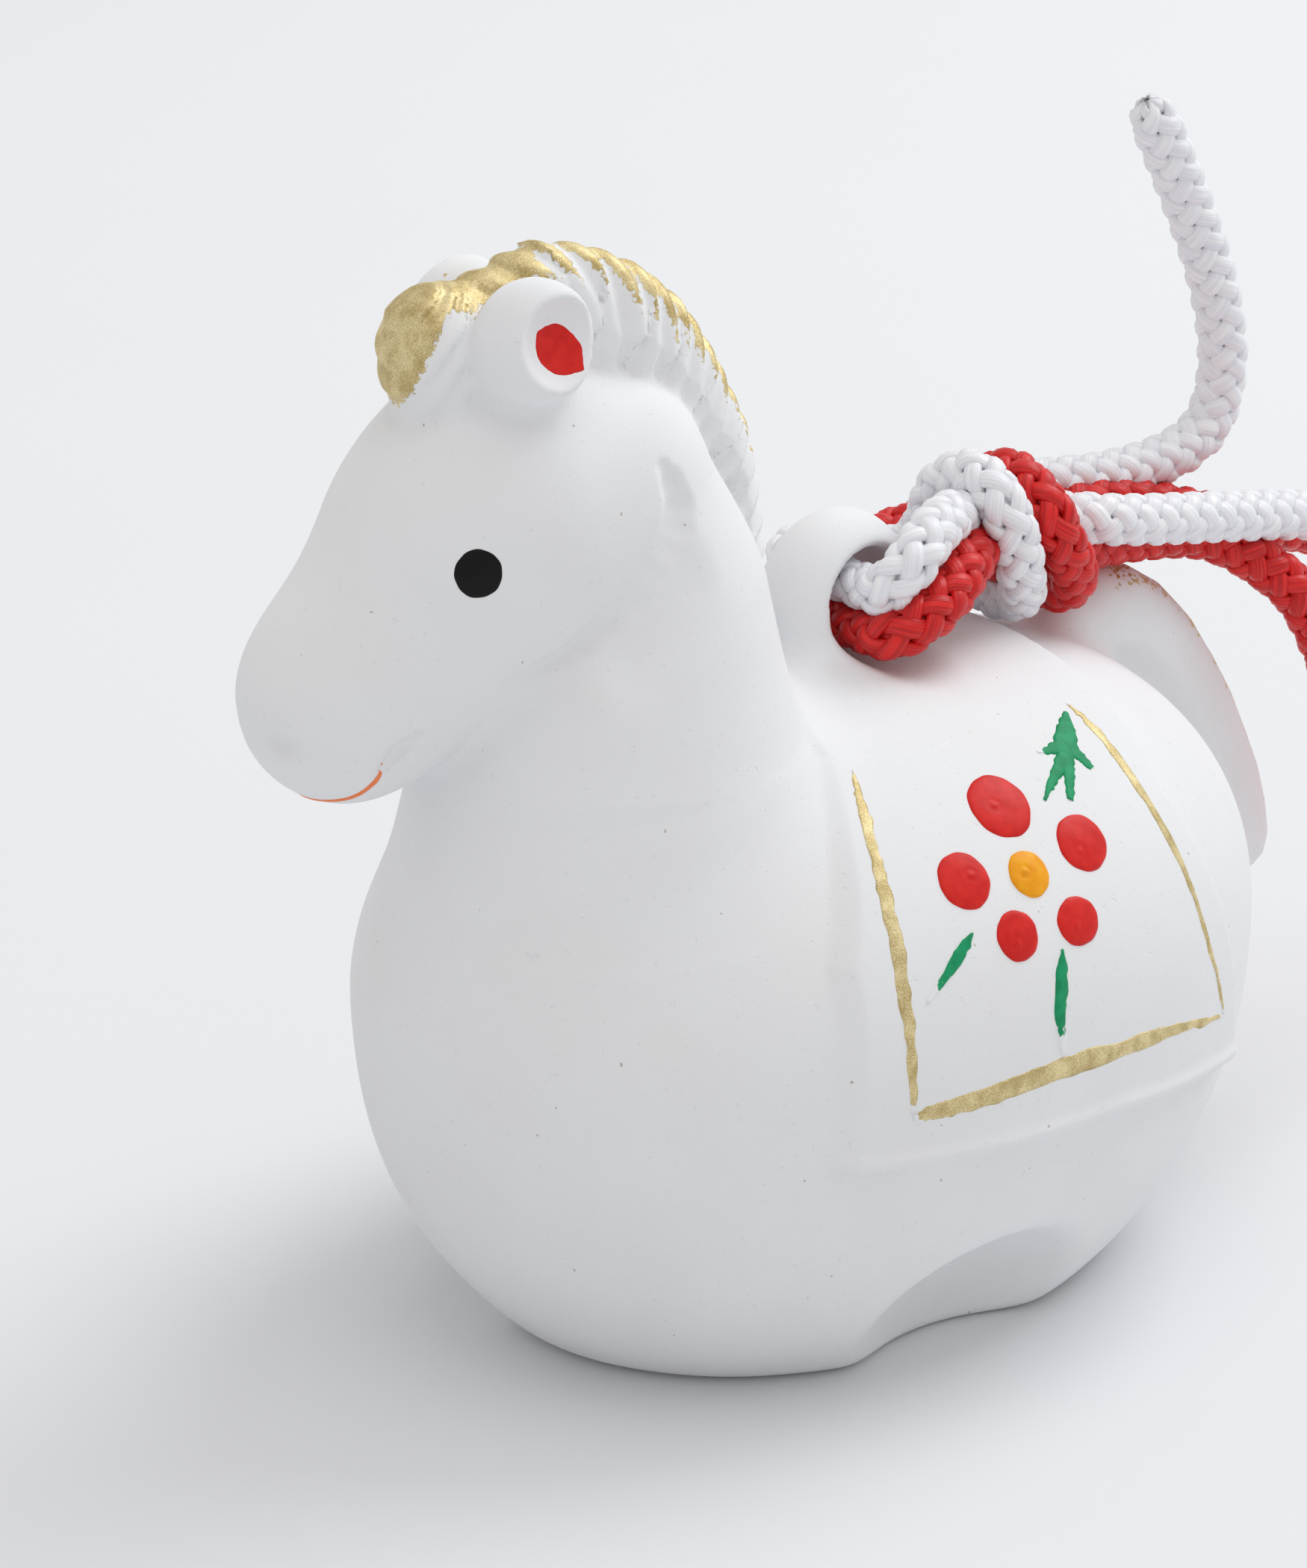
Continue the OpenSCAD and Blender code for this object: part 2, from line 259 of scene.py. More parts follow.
def braid_material(name, colour, painted_shade, sheen):
    """Satin filaments that run along each strand; their streaks mix the cord's colour with a darker copy of
    it, a painted shade.
    """
    shader = Shader(name, colour, 0.36, Specular_IOR_Level=0.4, Sheen_Weight=0.08, Sheen_Roughness=0.4)
    shader.surface.inputs["Sheen Tint"].default_value = (*sheen, 1.0)
    joined = shader.add("ShaderNodeCombineXYZ")
    shader.feed(joined.inputs[0], shader.math("MULTIPLY", shader.value("around"), 26.0))
    shader.feed(joined.inputs[1], shader.math("MULTIPLY", shader.value("along"), 0.55))
    shader.feed(joined.inputs[2], shader.value("strand"))
    node = shader.add("ShaderNodeTexNoise")
    node.inputs["Scale"].default_value = 1.0
    node.inputs["Detail"].default_value = 3.0
    shader.links.new(joined.outputs[0], node.inputs["Vector"])
    filaments = node.outputs["Fac"]
    # Filament streaks: the pattern is the satin's grain, and the darker colour in it is painted shade
    shader.colour(shader.mix(shader.ramp(filaments, 0.35, 0.65), painted_shade, colour))
    shader.bump(filaments, 0.05)
    return shader.material


def floor_material():
    shader = Shader("floor", FLOOR, 0.75, Specular_IOR_Level=0.2)
    shader.colour(shader.mix(shader.noise(40.0, 2.0), FLOOR, (0.775, 0.79, 0.815)))
    shader.bump(shader.noise(0.8, 3.0), 0.01)
    return shader.material


# ---- Meshes ----


def mesh_object(name, points, faces, material, body, replaced=(), values=(), normals=None):
    """A mesh from points in millimetres; values are named numbers, one for each point."""
    mesh = bpy.data.meshes.new(name)
    mesh.from_pydata((np.asarray(points, float) * MM).tolist(), [], faces)
    mesh.validate()
    for key, numbers in dict(values).items():
        layer = mesh.attributes.new(key, "FLOAT", "POINT")
        layer.data.foreach_set("value", np.asarray(numbers, np.float32))
    mesh.polygons.foreach_set("use_smooth", np.ones(len(mesh.polygons), bool))
    mesh.materials.append(material)
    mesh.update()
    if normals is not None:
        mesh.normals_split_custom_set_from_vertices(np.asarray(normals, float).tolist())
    piece = bpy.data.objects.new(name, mesh)
    bpy.context.collection.objects.link(piece)
    if body:
        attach(piece, body)
    if replaced:
        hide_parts(*replaced)
    return piece


def strip_faces(rows, columns, start=0, wrap=True):
    """Quads between rows of points, each row with the same number of columns."""
    faces = []
    across = columns if wrap else columns - 1
    for i in range(rows - 1):
        for j in range(across):
            k = (j + 1) % columns
            a, b = start + i * columns, start + (i + 1) * columns
            faces.append((a + j, a + k, b + k, b + j))
    return faces


# ---- Braided cords ----

CORD_D = 2.8
# The lug's hole in the side view, as (y, z), and its radius
LUG_HOLE = (2.2, 37.0)
LUG_HOLE_R = 3.0
STRANDS = 8
BRAID_PITCH = 6.6
# The core's radius and a strand's half width and half height, as shares of the cord's thickness
CORE_R, STRAND_W, STRAND_H = 0.27, 0.205, 0.125
# Points round a strand, and the distance along it from one ring of them to the next
RING = 10
STEP = 0.22

# From the upper tail through the knot, the far side of the lug, the hole and the near side
WHITE_ROUTE = [
    (-2, 28.4, 58.7), (-2, 31.4, 53.6), (-2, 33.8, 49), (-2, 35.2, 45.2), (-2.2, 35.8, 41.8),
    (-2.4, 35.1, 39.2), (-2.6, 33.2, 37.9), (-2.9, 30, 37.4), (-3.2, 26, 37.5), (-4, 22.2, 37.8),
    (-4.2, 18.8, 37.4), (-3.4, 16.2, 36), (-1.6, 14.7, 34.9), (1, 13.7, 34.6), (3.3, 12.9, 35.3),
    (4.7, 11.4, 37.1), (5.2, 10.4, 39.2), (4.8, 9.7, 41.3), (3, 9.9, 42.4), (1, 10.2, 42),
    (-0.5, 10.4, 40.8), (-1.3, 10.5, 38.9), (-2.1, 9.9, 37.5), (-3.6, 7.8, 37.1), (-4.9, 5, 37.8),
    (-3.9, 2.7, 38.1), (-1.8, 2, 38.2), (1.6, 1.7, 38.2), (3.4, 1.4, 38.2), (4.6, 1.3, 38.8),
    (5.3, 2.2, 40), (4.7, 4.2, 40.9), (3.3, 7.3, 40.9), (1.5, 10.9, 39.7), (0.7, 14.2, 39),
    (1.9, 17.8, 38.3), (3.1, 22, 37.4), (3.2, 35.6, 34.7), (3.2, 44, 32.6), (3.2, 52, 30.2)]
RED_ROUTE = [
    (-1, 56.6, 22.6), (-1, 52, 26.8), (-1, 44, 30.8), (-1, 35, 33.6), (-1.7, 29.4, 35.5),
    (-2.1, 25.4, 36.4), (-2.3, 22, 36.3), (-2, 19.9, 35.2), (-0.4, 18.6, 34.2), (1.8, 17.7, 34.3),
    (3.4, 17, 35.2), (4.6, 15.5, 36.9), (5.1, 14.1, 38.5), (4.8, 13.5, 40.1), (3.3, 13.5, 41.2),
    (1.5, 13.9, 41.5), (-0.3, 14.5, 40.7), (-1.9, 14, 39.2), (-3, 12.2, 38.2), (-4.3, 9.6, 37.3),
    (-5.4, 6.8, 36.4), (-5.2, 4.4, 36.2), (-3.7, 2.5, 35.8), (-1.6, 2, 35.8), (1.6, 1.7, 35.8),
    (3.5, 1.4, 35.9), (4.9, 1.3, 36.2), (5.8, 2.6, 37), (5.7, 4.8, 38), (4.6, 7.4, 38.8), (2.8, 10.4, 38.6),
    (1.9, 12.8, 37), (1.4, 15.6, 36.4), (1, 19.4, 35.9), (0.7, 24.6, 35.3), (1.2, 30.2, 34.3),
    (3, 33.2, 32.5), (4.8, 35.6, 29.4), (5.4, 38.6, 22.4), (5.4, 39.4, 14)]


def smooth_route(route):
    """Even points, STEP apart, on a smooth curve through the route."""
    p = np.array(route, float) + (0.0, EGG_Y, 0.0)
    p = np.vstack([2 * p[0] - p[1], p, 2 * p[-1] - p[-2]])
    curve = []
    for a, b, c, d in zip(p[:-3], p[1:-2], p[2:-1], p[3:]):
        curve.append(spline(a, b, c, d, np.linspace(0, 1, 24, endpoint=False)[:, None]))
    curve = np.vstack([*curve, p[-2:-1]])
    along = np.concatenate([[0], np.cumsum(np.linalg.norm(np.diff(curve, axis=0), axis=1))])
    even = np.linspace(0, along[-1], int(along[-1] / STEP) + 1)
    return np.stack([np.interp(even, along, curve[:, i]) for i in range(3)], 1), even


def carried_frames(line):
    """Two side directions carried along the line without twist."""
    ahead = unit(np.gradient(line, axis=0))
    side = np.empty_like(line)
    s = np.cross(ahead[0], (1.0, 0.0, 0.0))
    for i, t in enumerate(ahead):
        s = s - t * (s @ t)
        s = s / np.linalg.norm(s)
        side[i] = s
    return side, np.cross(ahead, side)


def braid(name, line, along, girth, rows, free_end, material, node):
    """One stretch of a braided cord: rows of its line, whose free end is the last (1) or the first (-1)."""
    side, over = carried_frames(line)
    side, over, line = side[rows], over[rows], line[rows]
    s, g = along[rows], girth[rows] * CORD_D
    points, faces, along_v, around_v, strand_v = [], [], [], [], []
    a = np.linspace(0, 2 * math.pi, RING)

    def add_tube(rings, number):
        first = sum(len(q) for q in points)
        points.append(rings.reshape(-1, 3))
        faces.extend(strip_faces(len(s), RING, first, wrap=False))
        faces.append(tuple(first + j for j in range(RING)))
        faces.append(tuple(first + (len(s) - 1) * RING + j for j in reversed(range(RING))))
        along_v.append(np.repeat(s, RING))
        around_v.append(np.tile(a / (2 * math.pi), len(s)))
        strand_v.append(np.full(len(s) * RING, number))

    left = (s[-1] - s) if free_end > 0 else (s - s[0])
    tip = np.sqrt(np.clip(left / 1.3, 0.02, 1.0)) ** 0.8
    for k in range(STRANDS):
        way = 1 if k % 2 else -1
        lane = k // 2
        turn = way * 2 * math.pi * s / BRAID_PITCH + lane * 2 * math.pi / (STRANDS / 2)
        weave = np.cos(STRANDS / 2 * 2 * math.pi * s / BRAID_PITCH + (math.pi if way > 0 else 0.0))
        lift = np.tanh(1.6 * weave) / math.tanh(1.6)
        r = g * (0.345 + 0.055 * lift) * tip
        out = np.cos(turn)[:, None] * side + np.sin(turn)[:, None] * over
        centre = line + out * r[:, None]
        path = unit(np.gradient(centre, axis=0))
        across = unit(np.cross(path, out))
        face_out = np.cross(across, path)
        w, h = g * STRAND_W * tip * (0.93 + 0.07 * lift), g * STRAND_H * tip
        add_tube(centre[:, None] + np.cos(a)[None, :, None] * (-face_out * h[:, None])[:, None]
                 + np.sin(a)[None, :, None] * (across * w[:, None])[:, None], 3.7 * k)
    # A plain core keeps light from showing between the strands
    add_tube(line[:, None] + (np.cos(a)[None, :, None] * side[:, None]
             + np.sin(a)[None, :, None] * over[:, None]) * (g * CORE_R * tip)[:, None, None], 0.0)
    piece = mesh_object(name, np.vstack(points), faces, material, "cords", (node,),
                        {"along": np.concatenate(along_v), "around": np.concatenate(around_v),
                         "strand": np.concatenate(strand_v)})
    path = line[:: int(1.0 / STEP)]
    if tuple(path[-1]) != tuple(line[-1]):
        path = np.vstack([path, line[-1:]])


def make_cord(colour, route, material, hole_z):
    """The cord is one length, shown as two stretches that meet in the middle of the lug's hole."""
    line, along = smooth_route(route)
    hole = np.array([0.0, EGG_Y + LUG_HOLE[0] - 0.4, hole_z])
    off = np.linalg.norm(line - hole, axis=1)
    middle = int(off.argmin())
    # The braid is squeezed where both cords share the hole and where the wraps grip
    girth = 1.0 - 0.12 * smoothstep((5.5 - off) / 3.0)
    knot = np.linalg.norm(line - (1.5, EGG_Y + 13.0, 38.5), axis=1)
    girth = girth - 0.07 * smoothstep((6.5 - knot) / 3.0)
    slot, node = f"{colour}_braid", f"{colour}_cord"
    braid(f"{colour}_cord_far", line, along, girth, slice(0, middle + 1), -1, material, node)
    braid(f"{colour}_cord_near", line, along, girth, slice(middle, len(line)), 1, material, node)


# ---- The clay as a signed distance, negative inside ----


def smooth_union(a, b, k):
    h = np.maximum(k - np.abs(a - b), 0.0)
    return np.minimum(a, b) - h * h / (4.0 * k)


def smooth_cut(a, b, k):
    return -smooth_union(-a, b, k)


def ellipsoid(x, y, z, centre, radii):
    x, y, z = x - centre[0], y - centre[1], z - centre[2]
    a, b, c = radii
    k0 = np.sqrt((x / a) ** 2 + (y / b) ** 2 + (z / c) ** 2)
    k1 = np.sqrt((x / a ** 2) ** 2 + (y / b ** 2) ** 2 + (z / c ** 2) ** 2)
    return k0 * (k0 - 1.0) / np.maximum(k1, 1e-6)


def cone(x, y, z, a, b, ra, rb):
    """A rod with round ends between a and b, of radius ra at a and rb at b."""
    d = [q - p for p, q in zip(a, b)]
    x, y, z = x - a[0], y - a[1], z - a[2]
    t = np.clip((x * d[0] + y * d[1] + z * d[2]) / sum(v * v for v in d), 0.0, 1.0)
    off = np.sqrt((x - t * d[0]) ** 2 + (y - t * d[1]) ** 2 + (z - t * d[2]) ** 2)
    return off - (ra + t * (rb - ra))


def rods(x, y, z, path, radii, k):
    """Rods end to end along a path, with a radius for each of its points."""
    f = None
    for a, b, ra, rb in zip(path[:-1], path[1:], radii[:-1], radii[1:]):
        d = cone(x, y, z, a, b, ra, rb)
        f = d if f is None else smooth_union(f, d, k)
    return f


# The egg's reach from its middle each way, how far its top lies back, and how square it is
EGG = dict(across=20.0, ahead=26.4, behind=27.2, middle=18.0, up=16.2, down=23.5, back=3.0, power=2.12)


def egg(x, y, z, grow=0.0, down=None):
    """The plump body, grown all round, or with its own reach downward."""
    power = EGG["power"]
    z = z - EGG["middle"]
    height = np.where(z > 0, EGG["up"] + grow, EGG["down"] if down is None else down)
    y = y - EGG["back"] * (np.maximum(z, 0.0) / EGG["up"]) ** 2
    across, half = EGG["across"] + grow, np.where(y > 0, EGG["behind"], EGG["ahead"]) + grow
    k = ((np.abs(x) / across) ** power + (np.abs(y) / half) ** power + np.abs(z / height) ** power)
    k = k ** (1.0 / power)
    return (k - 1.0) * np.sqrt(x * x + y * y + z * z) / np.maximum(k, 1e-3)


NECK = [(0, -13.5, 20.0), (0, -13.9, 26.0), (0, -14.8, 33.0), (0, -14.6, 37.0), (0, -14.5, 41.0),
        (0, -16.2, 47.0)]
NECK_R = [12.1, 11.3, 8.8, 7.7, 6.9, 6.3]

# The head is turned to the horse's right. Its own frame counts from the turning axis.
TURN = math.radians(20.0)
TURN_Y = -14.0


def in_head(x, y):
    """How far ahead of the turning axis in the head's frame, and how far to the head's left."""
    y = y - TURN_Y
    return -x * math.sin(TURN) - y * math.cos(TURN), x * math.cos(TURN) - y * math.sin(TURN)


def head(x, y, z):
    ahead, aside = in_head(x, y)
    cheek = ellipsoid(aside, ahead, z, (0, 5.7, 46.0), (8.0, 7.5, 8.4))
    nose = ellipsoid(aside, ahead, z, (0, 10.0, 42.6), (6.1, 6.3, 7.3))
    muzzle = ellipsoid(aside, ahead, z, (0, 14.9, 37.7), (5.3, 5.4, 5.5))
    return smooth_union(smooth_union(cheek, nose, 4.0), muzzle, 4.0)


# Crest of the mane in the side view, from the forelock to the withers
CREST = [(-23.5, 51.0), (-24.8, 53.0), (-25.4, 55.2), (-25.0, 57.0), (-23.6, 58.1), (-21.4, 58.6),
         (-18.2, 59.9), (-15.6, 59.5), (-12.5, 58.0), (-9.9, 55.9), (-7.4, 52.6), (-5.5, 49.0),
         (-4.6, 46.0), (-4.2, 43.0), (-4.1, 39.0), (-4.6, 35.0)]
MANE_FOOT = [(-8.0, 35.0), (-9.0, 45.0), (-15.0, 51.0), (-22.0, 51.0)]
# Distance along the crest from one lock's groove to the next
FLUTE = 1.75


def along_line(y, z, line):
    """Distance to an open line in the side view, and how far along it the nearest point lies."""
    best, where, start = None, None, 0.0
    for (ay, az), (by, bz) in zip(line[:-1], line[1:]):
        ey, ez = by - ay, bz - az
        long = math.hypot(ey, ez)
        t = np.clip(((y - ay) * ey + (z - az) * ez) / long ** 2, 0.0, 1.0)
        d = (y - ay - t * ey) ** 2 + (z - az - t * ez) ** 2
        s = start + t * long
        if best is None:
            best, where = d, s
        else:
            where = np.where(d < best, s, where)
            best = np.minimum(d, best)
        start += long
    return np.sqrt(best), where


def inside_outline(y, z, outline):
    inside = np.zeros(np.broadcast(y, z).shape, bool)
    for (ay, az), (by, bz) in zip(outline, outline[1:] + outline[:1]):
        crosses = ((z >= az) != (z >= bz)) & (y < (by - ay) * (z - az) / (bz - az + 1e-12) + ay)
        inside ^= crosses
    return inside


def mane_middle(y, z):
    """Where the mane's middle plane lies sideways, as it follows the turn of the head."""
    return -math.tan(TURN) * np.maximum(TURN_Y - y, 0.0) * smoothstep((z - 44.0) / 8.0)


def flutes(y, z):
    """Depth of the locks' grooves from 0 to 1, the distance from the crest, and the way along it."""
    off, s = along_line(y, z, CREST)
    groove = 0.5 - 0.5 * np.cos(2 * math.pi * (s - 0.55 * off) / FLUTE)
    return groove ** 1.3 * smoothstep((s - 8.0) / 3.0), off, s


def within(y, z, outline):
    """Distance to a closed outline in the side view, negative inside it."""
    edge = along_line(y, z, outline + outline[:1])[0]
    return np.where(inside_outline(y, z, outline), -edge, edge)


def mane(x, y, z):
    groove = flutes(y, z)[0]
    flat = within(y, z, CREST + MANE_FOOT)
    half = 1.9 + 0.25 * np.clip(-flat, 0.0, 4.0) - 0.42 * groove
    side = np.abs(x - mane_middle(y, z)) - half
    return -smooth_union(-(flat + 0.2 + 0.16 * groove), -side, 2.4)


def forelock(x, y, z):
    ahead, aside = in_head(x, y)
    f = ellipsoid(aside, ahead, z, (0.3, 9.9, 54.5), (3.2, 2.8, 3.6))
    spread = np.arctan2(ahead - 6.4, 60.5 - z)
    return f + 0.2 * (0.5 - 0.5 * np.cos(2 * math.pi * spread / 0.14)) ** 1.5


# The left ear in the head's frame, (aside, ahead, z), and the ways that its lobe and its dish face
EAR_AT = (5.0, 6.6, 56.1)
EAR_FACING = unit(np.array([0.85, 0.4, 0.34]))
EAR_OPENING = unit(np.array([0.93, -0.05, 0.36]))
# How much lower the right ear sits
EAR_DROP = 1.0


def lens(a, b, c, centre, facing, thick, wide):
    """A flattened ball of half thickness thick and radius wide."""
    a, b, c = a - centre[0], b - centre[1], c - centre[2]
    t = a * facing[0] + b * facing[1] + c * facing[2]
    r2 = np.maximum(a * a + b * b + c * c - t * t, 0.0)
    k0 = np.sqrt(t * t / thick ** 2 + r2 / wide ** 2)
    k1 = np.sqrt(t * t / thick ** 4 + r2 / wide ** 4)
    return k0 * (k0 - 1.0) / np.maximum(k1, 1e-6)


def ear(x, y, z, side):
    ahead, aside = in_head(x, y)
    aside = aside * side
    z = z + (EAR_DROP if side < 0 else 0.0)
    lobe = lens(aside, ahead, z, EAR_AT, EAR_FACING, 2.0, 3.1)
    root = ellipsoid(aside, ahead, z, (3.0, 6.4, 54.6), (2.6, 2.8, 2.8))
    dish = lens(aside, ahead, z, (6.75, 5.5, 56.1), EAR_OPENING, 1.25, 2.35)
    return smooth_cut(smooth_union(lobe, root, 1.2), dish, 0.5)


# The tail in the side view, as an outline that reaches into the rump; it is thickest along its outer edge
TAIL = [(16.5, 31.2), (19.6, 33.1), (22.5, 33.9), (25.3, 33.6), (28.0, 32.0), (30.5, 29.6), (32.6, 27.0),
        (34.2, 24.5), (35.6, 21.9), (36.7, 19.5), (37.5, 17.0), (37.9, 15.0), (37.4, 13.2), (36.0, 12.4),
        (24.0, 13.0), (15.0, 20.0), (12.0, 28.0)]
TAIL_EDGE = TAIL[:14]


def tail(x, y, z):
    flat = within(y, z, TAIL)
    inward = along_line(y, z, TAIL_EDGE)[0]
    half = 1.25 + 0.8 * smoothstep((5.2 - inward) / 1.6)
    return -smooth_union(-flat, half - np.abs(x), 3.2)


def lug(x, y, z):
    """A thick disc with a foot that spreads onto the back."""
    disc = ellipsoid(x, y, z, (0, 2.15, 36.5), (3.6, 4.75, 5.25))
    return smooth_union(disc, ellipsoid(x, y, z, (0.6, 0.4, 33.4), (5.0, 5.2, 1.9)), 1.6)


def lug_hole(x, y, z):
    return np.sqrt((y - LUG_HOLE[0]) ** 2 + (z - LUG_HOLE[1]) ** 2) - LUG_HOLE_R + 0.0 * x


# Edges of the saddle cloth in the side view: front and rear as (z, y), bottom as (y, z)
CLOTH_FRONT = [(14.5, -15.2), (20.0, -14.8), (24.9, -13.9), (29.6, -10.8), (32.9, -8.2), (40.0, -8.0)]
CLOTH_REAR = [(12.2, 15.0), (22.0, 12.4), (28.5, 10.4), (32.0, 11.5), (40.0, 11.5)]
CLOTH_BOTTOM = [(-15.2, 14.5), (-5.3, 14.0), (2.2, 13.7), (15.0, 12.2)]


def edge_at(t, line):
    """Where an edge lies at t, between its points."""
    return np.interp(t, [p[0] for p in line], [p[1] for p in line])


def cloth(x, y, z):
    """How far the saddle cloth stands proud, with a small lip along its bottom."""
    ahead = smoothstep((y - edge_at(z, CLOTH_FRONT)) / 1.1 + 0.5)
    behind = smoothstep((edge_at(z, CLOTH_REAR) - y) / 0.7 + 0.5)
    low = z - edge_at(y, CLOTH_BOTTOM)
    lip = 0.22 * np.exp(-((low - 0.55) / 0.45) ** 2)
    return (0.75 + lip) * ahead * behind * smoothstep(low / 0.45 + 0.5) + 0.0 * x


WALL = 3.0


def cavity(x, y, z):
    body = egg(x, y, z, -WALL, EGG["middle"] - WALL)
    throat = rods(x, y, z, NECK, [r - WALL for r in NECK_R], 3.0)
    return smooth_union(body, throat, 3.0)


def slit(x, y, z):
    """The sound slit through the base, 22 mm long and 3 mm wide."""
    reach = np.maximum(np.abs(y) - 9.5, 0.0)
    return np.maximum(np.sqrt(x * x + reach * reach) - 1.5, z - 6.0)


def below_floor(x, y, z):
    return z + 0.0 * (x + y)


def nostril(x, y, z, side):
    ahead, aside = in_head(x, y)
    return ellipsoid(aside * side, ahead, z, (2.9, 19.5, 36.4), (1.2, 0.8, 0.7))


# Paths in the head's frame, (aside, ahead, z). The crease that carries on from the mouth's corner
MOUTH = [(5.4, 13.2, 37.1), (5.1, 14.1, 36.1), (4.6, 14.8, 35.2)]
# The crease behind the cheek, and the shallow bed below and behind it
JAW = [(6.45, 0.35, 49.3), (6.7, -0.15, 48.4), (6.95, -0.45, 47.3), (7.3, -0.2, 46.35), (7.6, 0.35, 45.4),
       (7.8, 1.3, 44.3), (7.8, 2.5, 43.0), (7.5, 3.85, 41.9), (7.1, 5.2, 40.85), (6.65, 6.9, 40.0),
       (6.1, 8.7, 39.05)]
JAW_R = [0.35, 0.7, 0.95, 1.0, 1.0, 0.95, 0.9, 0.75, 0.55, 0.35, 0.2]
JAW_BED = [(10.2, 0.2, 44.2), (10.4, 3.4, 41.2)]


def head_line(x, y, z, path, radii):
    """Rods along a path in the head's frame, on both of its sides."""
    ahead, aside = in_head(x, y)
    return rods(np.abs(aside), ahead, z, path, radii, 0.3)


def uneven(x, y, z):
    """The slight unevenness of a form pressed and smoothed by hand."""
    return 0.05 * (np.sin(0.41 * x + 0.23 * z + 1.0) * np.sin(0.31 * y + 0.7)
                   + 0.6 * np.sin(0.63 * y - 0.37 * z) * np.sin(0.52 * x + 0.4 * z + 2.0))


EVERYWHERE = ((-40, 40), (-60, 60), (-2, 70))
HEAD_BOX = ((-18, 14), (-38, -5), (30, 62))
# What is done to the egg: how, the shape, how softly it blends, and the space that it can change
CLAY = [
    ("lift", cloth, 0, ((-24, 24), (-20, 22), (8, 40))),
    ("add", lambda x, y, z: rods(x, y, z, NECK, NECK_R, 3.0), 3.0, ((-16, 16), (-32, 4), (2, 60))),
    ("add", head, 1.1, HEAD_BOX),
    ("add", mane, 0.8, ((-12, 12), (-30, 0), (32, 62))),
    ("add", forelock, 0.8, ((-14, 10), (-32, -16), (46, 62))),
    ("add", lambda x, y, z: ear(x, y, z, 1), 0.8, ((-14, 14), (-34, -8), (48, 62))),
    ("add", lambda x, y, z: ear(x, y, z, -1), 0.8, ((-16, 14), (-34, -8), (48, 62))),
    ("add", lug, 0.5, ((-9, 9), (-8, 11), (26, 46))),
    ("add", tail, 1.2, ((-6, 6), (10, 42), (8, 38))),
    ("cut", lug_hole, 0.7, ((-13, 13), (-6, 10), (25, 43))),
    ("cut", lambda x, y, z: ellipsoid(np.abs(x), y, z, (20.0, -3.9, -0.5), (8.6, 10.0, 8.5)), 0.9,
     ((-24, 24), (-17, 10), (-2, 12))),
    ("cut", lambda x, y, z: ellipsoid(x, y, z, (-9.5, -21.5, -0.5), (5.6, 7.5, 7.0)), 0.6,
     ((-17, -2), (-32, -12), (-2, 9))),
    ("cut", lambda x, y, z: ellipsoid(x, y, z, (0, 23.0, -1.0), (6.0, 8.0, 6.2)), 0.7,
     ((-10, 10), (12, 34), (-2, 9))),
    ("cut", lambda x, y, z: head_line(x, y, z, JAW_BED, [2.9, 2.9]), 1.6, HEAD_BOX),
    ("cut", lambda x, y, z: head_line(x, y, z, JAW, JAW_R), 0.4, HEAD_BOX),
    ("cut", lambda x, y, z: head_line(x, y, z, MOUTH, [0.1, 0.4, 0.15]), 0.5, HEAD_BOX),
    ("cut", lambda x, y, z: nostril(x, y, z, 1), 0.8, HEAD_BOX),
    ("cut", lambda x, y, z: nostril(x, y, z, -1), 0.8, HEAD_BOX),
    ("lift", uneven, 0, EVERYWHERE),
    ("cut", below_floor, 0.8, EVERYWHERE),
    ("cut", cavity, 0.3, ((-20, 20), (-30, 28), (1, 50))),
    ("cut", slit, 0.5, ((-4, 4), (-16, 16), (-2, 8))),
]


def shaped(f, x, y, z, kind, shape, k):
    g = shape(x, y, z)
    if kind == "lift":
        return f - g
    return smooth_union(f, g, k) if kind == "add" else smooth_cut(f, g, k)


def clay_at(points):
    """Distance to the clay's surface at points of the part's frame."""
    x, y, z = points[:, 0], points[:, 1] - EGG_Y, points[:, 2]
    f = egg(x, y, z)
    for kind, shape, k, box in CLAY:
        near = np.ones(len(x), bool)
        for v, (low, high) in zip((x, y, z), box):
            near &= (v >= low) & (v <= high)
        if near.any():
            f[near] = shaped(f[near], x[near], y[near], z[near], kind, shape, k)
    return f


def clay_normal(points, d=0.06):
    n = np.stack([clay_at(points + e) - clay_at(points - e) for e in np.eye(3) * d], 1)
    return unit(n)


def onto_clay(points, rounds=4):
    for _ in range(rounds):
        points = points - clay_normal(points) * clay_at(points)[:, None]
    return points


# The sculpting grid's step and the number of triangles kept
GRID = 0.26
BODY_TRIANGLES = 190_000


def clay_mesh():
    """Points and triangles of the clay's surface, in the part's frame."""
    low, high = (-22.0, -34.5, -1.0), (22.0, 40.5, 60.5)
    axes = [np.arange(a, b, GRID, dtype=np.float32) for a, b in zip(low, high)]
    x, y, z = axes[0][:, None, None], axes[1][None, :, None], axes[2][None, None, :]
    f = egg(x, y, z).astype(np.float32)
    for kind, shape, k, box in CLAY:
        cut = tuple(slice(int(np.searchsorted(v, a)), int(np.searchsorted(v, b)))
                    for v, (a, b) in zip(axes, box))
        part = (x[cut[0]], y[:, cut[1]], z[:, :, cut[2]])
        f[cut] = shaped(f[cut], *part, kind, shape, k)
    grid = openvdb.FloatGrid(4 * GRID)
    grid.copyFromArray(np.clip(f, -4 * GRID, 4 * GRID).astype(np.float32))
    grid.transform = openvdb.createLinearTransform(voxelSize=GRID)
    points, triangles, quads = grid.convertToPolygons(0.0, 0.0)
    points = points + np.array(low, np.float32) + (0.0, EGG_Y, 0.0)
    return thinned(points, quads.tolist() + triangles.tolist())


